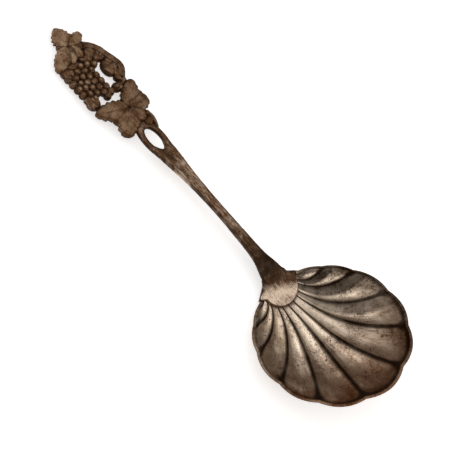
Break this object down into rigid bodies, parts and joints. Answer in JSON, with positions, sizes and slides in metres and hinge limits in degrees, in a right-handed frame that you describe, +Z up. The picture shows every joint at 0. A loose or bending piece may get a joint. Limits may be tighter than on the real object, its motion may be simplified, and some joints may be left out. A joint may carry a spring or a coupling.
{
  "type": "sugar spoon",
  "caption": "Sugar spoon with a round fluted shell bowl, a slim arched stem with a pierced eye, and a pierced grape-and-vine terminal, in tarnished silver.",
  "frame": {"origin": "middle of the spoon's length and width, on the table that it rests on", "axes": "+X along the spoon towards the bowl's far end, +Y across it, +Z up from the table, the bowl open upwards"},
  "size_m": [0.148, 0.048, 0.0154],
  "materials": {
    "bowl_silver": "worn silver, bright in the hollows, dark along the ridges",
    "handle_silver": "brown tarnished silver, dark in the recesses",
    "ornament_silver": "brown tarnished silver, dark in the recesses"
  },
  "bodies": {
    "root": {"bowl": "bowl_silver", "handle": "handle_silver", "base_leaf": "ornament_silver", "tip_leaf": "ornament_silver", "grapes": "ornament_silver", "vine_branch": "ornament_silver", "curled_leaf": "ornament_silver", "tendril": "ornament_silver"}
  },
  "joints": []
}
